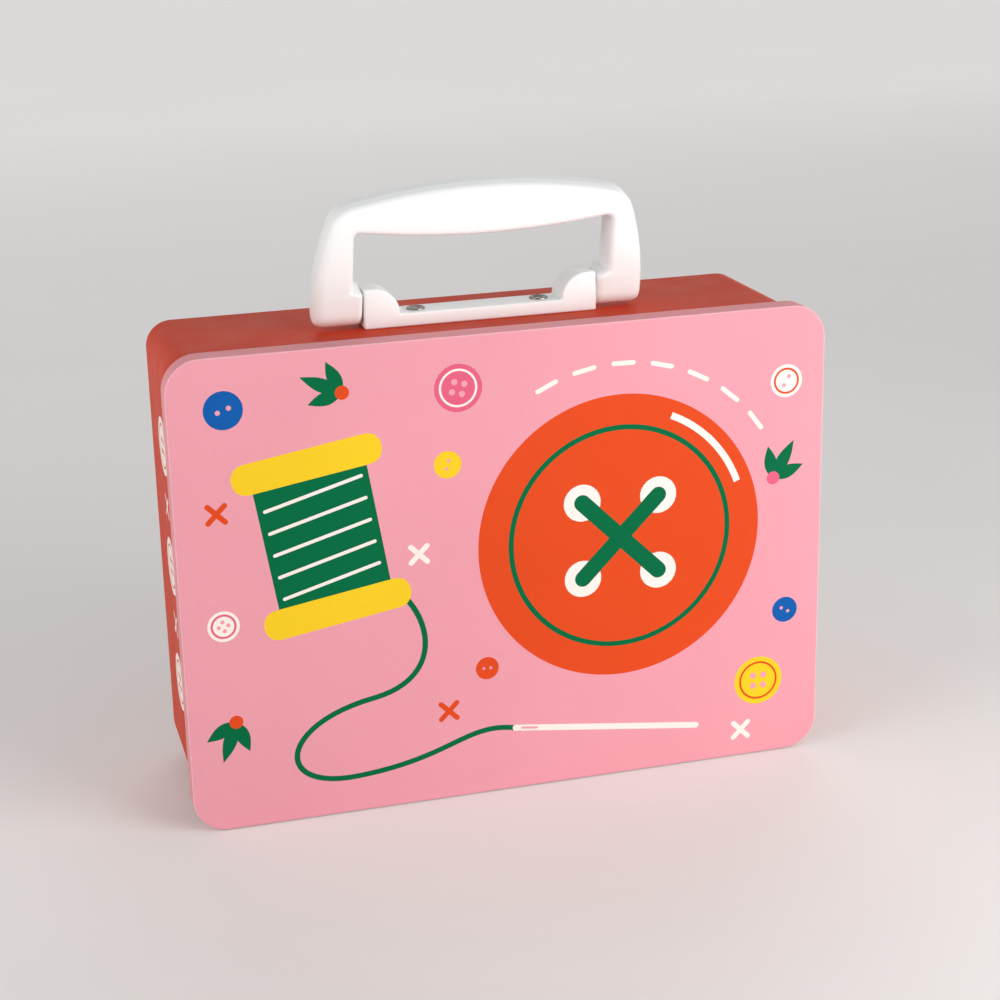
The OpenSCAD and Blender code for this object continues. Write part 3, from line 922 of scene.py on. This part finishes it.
def build_hinge(print_material):
    """The knuckles of both hinges, which take turns along the wire."""
    length = KNUCKLES * KNUCKLE + (KNUCKLES - 1) * KNUCKLE_GAP
    pitch = KNUCKLE + KNUCKLE_GAP
    for strip, first, count, body, slot, ink in (
        ("body", 0, 3, "case", "red_tin", RED),
        ("lid", 1, 2, "lid", "pink_tin", PINK),
    ):
        start = (-length / 2 + first * pitch, 0, 0)
        knuckle = knuckle_mesh(strip, ink)
        mesh = row(knuckle, count, (2 * pitch, 0, 0), start, HINGE_PITCH, print_material)
        piece(f"{strip}_knuckles", smoothed(mesh, HINGE_SHARP), body, slot, print_material)


# ---------------- the handle
BRACKET_HALF = 38 * MM
BRACKET_DEPTH = 11.4 * MM
BRACKET_SOFT = 0.7 * MM
PLATE = 4.3 * MM
EAR = 12.7 * MM
EAR_FLAT = 3.1 * MM
EAR_ROUND = 8.4 * MM
EAR_STEPS = 18


def build_bracket(material):
    """The bracket: a base plate with an ear at each end, its edges softened as moulded."""
    ear_in = BRACKET_HALF - EAR_FLAT
    half = [(BRACKET_HALF, 0.0), (BRACKET_HALF, EAR)]
    half += arc(ear_in, EAR - EAR_ROUND, EAR_ROUND, 90, 180, EAR_STEPS)
    outline = half + [(-x, z) for x, z in reversed(half)]
    sides = (pivot.y - BRACKET_DEPTH / 2, pivot.y + BRACKET_DEPTH / 2)
    b = Builder()
    b.prism(*([(x, y, roof_z + z) for x, z in outline] for y in sides))
    mesh = bevelled(cleaned(b.mesh("bracket"), 30), BRACKET_SOFT, 4, 25)
    mesh = smoothed(mesh, 50)
    return piece(
        "bracket_moulding", mesh, "case", "white_plastic", material, stands_for=["handle_bracket"]
    )


HANDLE_LEAN = 14.5
LEG_IN = BRACKET_HALF + 0.3 * MM
LEG = 15.5 * MM
LEG_LEAN = 4.6 * MM
CROWN = 39.9 * MM
SHOULDER_AT = 26.1 * MM
SHOULDER = 9.2 * MM
BOSS_STEP = 3.1 * MM
OPENING = 26.9 * MM
BELLY = 3.1 * MM
OPENING_ROUND = 2 * MM
BOSS = 5.8 * MM
BOSS_SLOPE = 2 * MM
FOOT_START = 82
FOOT_OUT = 3 * MM
FOOT_IN = 0.6 * MM
GRIP_HALF = 5.7 * MM
OUTER_ROUND = 3.4 * MM
INNER_ROUND = 2.2 * MM
ROUND_LIMIT = 0.97
SEAM_RIDGE = 0.05 * MM
SEAM_WIDTH = 0.14 * MM
RIDGE_FROM = 2 * MM
FOOT_STEPS, BOSS_STEPS, SLOPE_STEPS, LEG_STEPS = 12, 3, 6, 8
SHOULDER_STEPS, CROWN_STEPS, ROUND_STEPS = 18, 16, 7

# The outside is five arcs, each tangent to the next: two legs, two shoulders and the crown.
# Heights are above the pivot, and widths are from the middle of the case.
foot_x = LEG_IN + LEG
open_x = LEG_IN + BOSS_STEP
bar_in = open_x - OPENING_ROUND
slope_top = BOSS + BOSS_SLOPE
opening_side = OPENING - OPENING_ROUND
shoulder_x = foot_x - LEG_LEAN - SHOULDER
leg_r = ((foot_x - shoulder_x) ** 2 + SHOULDER_AT**2 - SHOULDER**2) / (2 * LEG_LEAN)
crown_rise = CROWN - SHOULDER_AT
crown_r = (shoulder_x**2 + crown_rise**2 - SHOULDER**2) / (2 * (crown_rise - SHOULDER))
shoulder_first = math.atan2(SHOULDER_AT, shoulder_x - foot_x + leg_r)
shoulder_last = math.atan2(crown_r - crown_rise, shoulder_x)


def round_in(r, h):
    """How far a rounded edge is drawn in at a height over its start."""
    return 0.0 if h >= r else r - math.sqrt(r * r - (r - h) ** 2)


def smooth(t):
    return t * t * (3 - 2 * t)


def leg_at(z):
    """The leg's outer edge at a height."""
    return foot_x - leg_r + math.sqrt(leg_r**2 - z**2)


# Each station is the outer and inner edge of a section, and half its depth.
def foot_stations():
    """The round foot, and the boss up to its slope."""
    found = []
    for i in range(FOOT_STEPS + 1):
        s = math.radians(FOOT_START * (1 - i / FOOT_STEPS))
        h = GRIP_HALF * (1 - math.sin(s))
        z = -GRIP_HALF * math.sin(s)
        out, into = foot_x - round_in(FOOT_OUT, h), LEG_IN + round_in(FOOT_IN, h)
        found.append((out, z, into, z, GRIP_HALF * math.cos(s)))
    for i in range(1, BOSS_STEPS + 1):
        z = BOSS * i / BOSS_STEPS
        found.append((leg_at(z), z, LEG_IN, z, GRIP_HALF))
    return found


def leg_stations():
    """The slope from the boss to the opening, and the leg beside the opening."""
    found = []
    for i in range(1, SLOPE_STEPS + 1):
        t = i / SLOPE_STEPS
        z = BOSS + BOSS_SLOPE * t
        found.append((leg_at(z), z, LEG_IN + BOSS_STEP * smooth(t), z, GRIP_HALF))
    top = leg_r * math.sin(shoulder_first)
    for i in range(1, LEG_STEPS):
        t = i / LEG_STEPS
        zo = slope_top + (top - slope_top) * t
        zi = slope_top + (opening_side - slope_top) * t
        found.append((leg_at(zo), zo, open_x, zi, GRIP_HALF))
    return found


def shoulder_stations():
    """The turn from the leg to the bar."""
    found = []
    for i in range(SHOULDER_STEPS + 1):
        t = i / SHOULDER_STEPS
        a = shoulder_first + (shoulder_last - shoulder_first) * t
        c = math.radians(90 * t)
        xo, zo = shoulder_x + SHOULDER * math.cos(a), SHOULDER_AT + SHOULDER * math.sin(a)
        xi = bar_in + OPENING_ROUND * math.cos(c)
        zi = opening_side + OPENING_ROUND * math.sin(c)
        found.append((xo, zo, xi, zi, GRIP_HALF))
    return found


def crown_stations():
    """The bellied bar, from the shoulder to the middle."""
    bar_x = crown_r * math.cos(shoulder_last)
    found = []
    for i in range(1, CROWN_STEPS + 1):
        left = 1 - i / CROWN_STEPS
        xo, xi = bar_x * left, bar_in * left
        zo = CROWN - crown_r + math.sqrt(crown_r**2 - xo**2)
        zi = OPENING - BELLY * (1 - (xi / bar_in) ** 2)
        found.append((xo, zo, xi, zi, GRIP_HALF))
    return found


def grip_ring(station):
    """One section of the grip: a rectangle with round corners and the mould's parting ridge."""
    xo, zo, xi, zi, h = station
    out, into = Vector((xo, 0, zo)), Vector((xi, 0, zi))
    along = (out - into).normalized()
    across = Vector((0, 1, 0))
    ro, ri = (min(r, h * ROUND_LIMIT) for r in (OUTER_ROUND, INNER_ROUND))
    points = []
    for centre, r, start, side in (
        (out - along * ro, ro, 0, 1),
        (into + along * ri, ri, 90, 1),
        (into + along * ri, ri, 180, -1),
        (out - along * ro, ro, 270, -1),
    ):
        for c, s in arc(0, 0, 1, start, start + 90, ROUND_STEPS):
            points.append(centre + across * (side * (h - r) + r * s) + along * (r * c))
    rise = along * (SEAM_RIDGE if h > RIDGE_FROM else 0.0)
    half = len(points) // 2
    width = across * SEAM_WIDTH
    outer_ridge = [out - width, out + rise, out + width]
    inner_ridge = [into + width, into - rise, into - width]
    return points[:half] + inner_ridge + points[half:] + outer_ridge


def build_grip(material):
    """The grip, swept from one foot over the crown to the other, leaning towards the lid. Its finer
    rounding is held within the box of the CAD grip."""
    half = foot_stations() + leg_stations() + shoulder_stations() + crown_stations()
    stations = half + [(-xo, zo, -xi, zi, h) for xo, zo, xi, zi, h in half[-2::-1]]
    rings = [grip_ring(s) for s in stations]
    lean = Matrix.Rotation(math.radians(HANDLE_LEAN), 3, "X")
    b = Builder()
    n = len(rings[0])
    for p in (p for ring in rings for p in ring):
        place = zip(lean @ p + pivot, grip_low, grip_high)
        b.verts.append(tuple(min(max(v, low), high) for v, low, high in place))
    for k in range(0, (len(rings) - 1) * n, n):
        for j in range(n):
            i = (j + 1) % n
            b.face((k + j, k + i, k + n + i, k + n + j))
    b.cap((0, n))
    b.cap((len(b.verts) - n, n))
    mesh = cleaned(b.mesh("grip"), 60)
    return piece("grip_moulding", mesh, "handle", "white_plastic", material, stands_for=["handle_grip"])


RIVET_R = 3.0 * MM
RIVET_HOLLOW = 1.1 * MM
RIVET_EDGE = 0.45 * MM
RIVET_RISE = 0.6 * MM
RIVET_LIP = 0.6 * MM
RIVET_ROOT = 2.6 * MM
RIVET_TURNS = 64
RIVET_SHARP = 45


def rivet_section():
    """The head's outline from its foot to the bottom of the hollow, about the plate's top."""
    r, edge, lip, rise = RIVET_R, RIVET_EDGE, RIVET_LIP, RIVET_RISE
    section = [(r - 0.05 * MM, -0.02 * MM), (r, 0.05 * MM)]
    section += arc(r - edge, rise - edge, edge, 0, 85, 7)
    section += [(r - 0.75 * MM, rise - 0.03 * MM), (r - 1.0 * MM, rise - 0.12 * MM)]
    section += arc(RIVET_HOLLOW + lip, -0.25 * MM, lip, 75, 180, 7)
    return section + [(RIVET_HOLLOW, -1.6 * MM), (RIVET_HOLLOW * 0.6, -2.1 * MM), (0.0, -2.3 * MM)]


def build_rivets(material):
    """Two rivets: a domed head with a hollow in the middle, as far as it shows above the plate."""
    *section, (_, tip_z) = rivet_section()
    top = roof_z + PLATE
    b = Builder()
    for i in range(RIVET_TURNS):
        a = 2 * math.pi * i / RIVET_TURNS
        b.verts += [(r * math.cos(a), pivot.y + r * math.sin(a), top + z) for r, z in section]
    n = len(section)
    tip, foot = len(b.verts), len(b.verts) + 1
    b.verts += [(0, pivot.y, top + tip_z), (0, pivot.y, top + section[0][1] - RIVET_ROOT)]
    for i in range(0, RIVET_TURNS * n, n):
        k = (i + n) % (RIVET_TURNS * n)
        for j in range(n - 1):
            b.face((i + j, k + j, k + j + 1, i + j + 1))
        b.face((i + n - 1, k + n - 1, tip))
        b.face((k, i, foot))
    mesh = cleaned(b.mesh("rivet"), RIVET_SHARP)
    pitch = rivet_high.x - rivet_low.x - 2 * RIVET_R
    mesh = smoothed(row(mesh, 1, (0, 0, 0), (0, 0, 0), pitch, material), RIVET_SHARP)
    return piece("rivet_heads", mesh, "case", "bright_steel", material, stands_for=["handle_rivets"])


# ---------------- the foam
SLOT_COLS, SLOT_ROWS = 7, 4
SLOT_W, SLOT_H, SLOT_ROUND = 13.0, 22.5, 2.5
SLOT_PITCH_X, SLOT_PITCH_Z = 27.4, 34.0
FOAM_ROUND = 7.0
FOAM_SOFT = 0.6 * MM
FLAT = 0.01


def build_foam(material):
    """The slotted sheet: cut right through, with edges that give a little at the knife."""
    w, h = (foam_high.x - foam_low.x) / MM, (foam_high.z - foam_low.z) / MM
    centre_z = (foam_high.z + foam_low.z) / 2
    border = block(0, 0, w, h, FOAM_ROUND)
    slots = []
    for i in range(SLOT_COLS):
        for j in range(SLOT_ROWS):
            x = (i - (SLOT_COLS - 1) / 2) * SLOT_PITCH_X
            z = (j - (SLOT_ROWS - 1) / 2) * SLOT_PITCH_Z
            slots.append(block(x, z, SLOT_W, SLOT_H, SLOT_ROUND))
    flat, faces, inks = printed_faces(border, [(s, "slot") for s in slots], "foam")
    b = Builder()
    b.verts += [(x * MM, foam_low.y, centre_z + z * MM) for x, z in flat]
    for f, ink in zip(faces, inks):
        if ink == "foam":
            b.face(f)
    mesh = b.mesh("foam")
    g = bmesh.new()
    g.from_mesh(mesh)
    bmesh.ops.delete(g, geom=[v for v in g.verts if not v.link_faces], context="VERTS")
    bmesh.ops.dissolve_limit(g, angle_limit=FLAT, verts=g.verts, edges=g.edges)
    grown = bmesh.ops.extrude_face_region(g, geom=g.faces[:])
    moved = [v for v in grown["geom"] if isinstance(v, bmesh.types.BMVert)]
    bmesh.ops.translate(g, verts=moved, vec=(0, foam_high.y - foam_low.y, 0))
    bmesh.ops.recalc_face_normals(g, faces=g.faces)
    g.to_mesh(mesh)
    g.free()
    mesh = smoothed(bevelled(mesh, FOAM_SOFT, 3, 60), 50)
    tray = piece("slotted_foam", mesh, "case", "foam", material, stands_for=["foam_tray"])


def dress_cad_nodes(foam_material, wire_material, washer_material):
    """CAD pieces whose shape is right keep it and take a finish."""
    finishes = {
        "foam_block": foam_material,
        "hinge_wires": wire_material,
        "rivet_washers": washer_material,
    }
    for node, material in finishes.items():
        materials = frame["nodes"][node].data.materials
        if not materials:
            materials.append(material)
        for i in range(len(materials)):
            materials[i] = material


# ---------------- studio
CAMERA_AT = Vector((-168.06, -615.18, 297.76)) * MM
CAMERA_AZIMUTH = 14.93
CAMERA_DIP = 17.339
CAMERA_ROLL = -1.555
CAMERA_LENS = 73.65
CAMERA_SHIFT = 0.03
CAMERA_SENSOR = 36.0


def build_camera():
    data = bpy.data.cameras.new("camera")
    data.sensor_width = CAMERA_SENSOR
    data.lens = CAMERA_LENS
    data.shift_x = CAMERA_SHIFT
    data.shift_y = -CAMERA_SHIFT
    data.clip_start, data.clip_end = 0.05, 50
    o = placed("camera", data)
    az, dip, roll = (math.radians(v) for v in (CAMERA_AZIMUTH, CAMERA_DIP, CAMERA_ROLL))
    ahead = Vector((math.sin(az) * math.cos(dip), math.cos(az) * math.cos(dip), -math.sin(dip)))
    level = Vector((math.cos(az), -math.sin(az), 0))
    right = level * math.cos(roll) + level.cross(ahead) * math.sin(roll)
    up = right.cross(ahead)
    turn = Matrix((right, up, -ahead)).transposed()
    o.matrix_world = Matrix.Translation(CAMERA_AT) @ turn.to_4x4()
    bpy.context.scene.camera = o


FLOOR_SIZE = 8.0
FLOOR_DEPTH = 0.4
CONTACT_GAP = 0.3 * MM
# How much the floor is lifted where it is seen, and the depths between which that changes
LIFT_NEAR, LIFT_FAR = 0.14, 0.5
LIFT_FROM, LIFT_TO = -0.1, 1.6
WELL_MARGIN = 2.5 * MM
WELL_FROM = 0.4 * MM


def slab(name, low, high):
    """A closed box between two corners."""
    mesh = bpy.data.meshes.new(name)
    b = bmesh.new()
    bmesh.ops.create_cube(b, size=1)
    low, high = Vector(low), Vector(high)
    for v in b.verts:
        v.co = Vector(low[i] + (high[i] - low[i]) * (v.co[i] + 0.5) for i in range(3))
    b.to_mesh(mesh)
    b.free()
    return placed(name, mesh)


def worked_out(tree, operation, first, second):
    """The result of an operation on two values."""
    node = tree.nodes.new("ShaderNodeMath")
    node.operation = operation
    for value, socket in zip((first, second), node.inputs):
        tree.links.new(value, socket)
    return node.outputs["Value"]


def seen_directly(tree):
    """1 for rays from the camera, from a glossy surface or through a clear one, otherwise 0."""
    rays = tree.nodes.new("ShaderNodeLightPath").outputs
    found = rays["Is Camera Ray"]
    for name in ("Is Glossy Ray", "Is Transmission Ray"):
        found = worked_out(tree, "MAXIMUM", found, rays[name])
    return found


def build_floor():
    """A plain pale floor. The lid hinges at its lower edge and opens past the level that the case
    stands on, so the floor has a well that the lid's own box and the space inside it cut as they
    swing down. At rest they are above the floor, and the well is shut. The floor is a hair below
    the case, whose lower edge then has a thin line of shadow under it."""
    half = FLOOR_SIZE / 2
    ground = slab("studio_floor", (-half, -half, -FLOOR_DEPTH), (half, half, -CONTACT_GAP))
    s = Shader("pale_floor", 0.7, Specular_IOR_Level=0.2)
    s.colour(s.mixed(s.spread(s.noise(0.12, 3), 0, 1), FLOOR, FLOOR_DARKER))
    s.bump((s.noise(1.2 * MM, 3), 0.02 * MM))
    depth = s.node("SeparateXYZ", Vector=s.place).outputs["Y"]
    lift = s.spread(depth, LIFT_NEAR, LIFT_FAR, LIFT_FROM, LIFT_TO)
    lift = worked_out(s.tree, "MULTIPLY", seen_directly(s.tree), lift)
    s.fill(s.surface, Emission_Color=FLOOR, Emission_Strength=lift)
    ground.data.materials.append(s.material)
    well = slab(
        "lid_well",
        (lid_low.x - WELL_MARGIN, front_y - WELL_MARGIN, WELL_FROM),
        (lid_high.x + WELL_MARGIN, back_y, lid_high.z + WELL_MARGIN),
    )
    well.hide_render = True
    well.parent = frame["bodies"]["lid"]
    cut = ground.modifiers.new("lid_well", "BOOLEAN")
    cut.operation = "DIFFERENCE"
    cut.solver = "EXACT"
    cut.object = well


# Each lamp's place, the point that it faces, its width and height, and its power
CASE_MIDDLE, HANDLE_MIDDLE = (0, 0, 0.09), (0, 0, 0.16)
WINDOW = ((0.45, -0.53, 0.29), CASE_MIDDLE, (0.55, 0.45), 4.2)
FILL = ((-1.0, -0.3, 0.42), CASE_MIDDLE, (0.8, 0.8), 5.7)
HANDLE_CARD = ((-0.1, -0.6, 0.26), HANDLE_MIDDLE, (0.3, 0.2), 0.45)
LAMP_TINT = (1.0, 0.994, 0.988)
REAR_POWER = 1.3
REAR_SPREAD = 50
REAR_DIRECTION = Vector((-0.35, -1, -0.25))
WORLD_TINT = (0.97, 0.98, 1.0, 1)
WORLD_POWER = 0.26


def shining(name, data, direction):
    """A lamp that faces the way given."""
    o = placed(name, data)
    o.rotation_mode = "QUATERNION"
    o.rotation_quaternion = direction.to_track_quat("-Z", "Y")
    return o


def lamp(name, place, aim, size, power):
    data = bpy.data.lights.new(name, "AREA")
    data.shape = "RECTANGLE"
    data.size, data.size_y = size
    data.energy = power
    data.color = LAMP_TINT
    o = shining(name, data, Vector(aim) - Vector(place))
    o.location = place
    o.visible_camera = False
    return o


def build_lamps():
    """A soft window at the front right, near enough to leave the left side darker, and fills at
    the left and the rear."""
    lamp("window", *WINDOW)
    lamp("fill", *FILL)
    rear = bpy.data.lights.new("rear_fill", "SUN")
    rear.energy = REAR_POWER
    rear.angle = math.radians(REAR_SPREAD)
    shining("rear_fill", rear, REAR_DIRECTION).visible_glossy = False


def light_handle(*pieces):
    """A card of light for the handle alone, which is paler than the rest."""
    receivers = bpy.data.collections.new("handle_alone")
    for o in pieces:
        receivers.objects.link(o)
    lamp("handle_card", *HANDLE_CARD).light_linking.receiver_collection = receivers


def build_world():
    """A pale world, which lights the case less than it shows behind it."""
    world = bpy.data.worlds.new("studio_world")
    bpy.context.scene.world = world
    world.use_nodes = True
    tree = world.node_tree
    tree.nodes.clear()
    mix = tree.nodes.new("ShaderNodeMixShader")
    tree.links.new(seen_directly(tree), mix.inputs["Fac"])
    for i, colour, strength in ((1, WORLD_TINT, WORLD_POWER), (2, BACKDROP, 1.0)):
        node = tree.nodes.new("ShaderNodeBackground")
        node.inputs["Color"].default_value = colour
        node.inputs["Strength"].default_value = strength
        tree.links.new(node.outputs["Background"], mix.inputs[i])
    out = tree.nodes.new("ShaderNodeOutputWorld")
    tree.links.new(mix.outputs["Shader"], out.inputs["Surface"])
    bpy.context.scene.view_settings.view_transform = "Standard"


# ---------------- making
build_camera()
build_floor()
build_lamps()
build_world()

tin_print = printed_tin()
tin_bare = bare_tin()
white = white_moulding()
foam = closed_cell_foam()
rivet_steel = plated_steel("rivet_steel", (1, 1, 1))
wire_steel = plated_steel("wire_steel", (0.05, 1, 1))

build_lid(tin_print, tin_bare)
build_body(tin_print, tin_bare)
build_lock_seam(tin_print)
build_back(tin_print)
build_hinge(tin_print)
light_handle(build_bracket(white), build_grip(white))
build_rivets(rivet_steel)
build_foam(foam)
dress_cad_nodes(foam, wire_steel, rivet_steel)
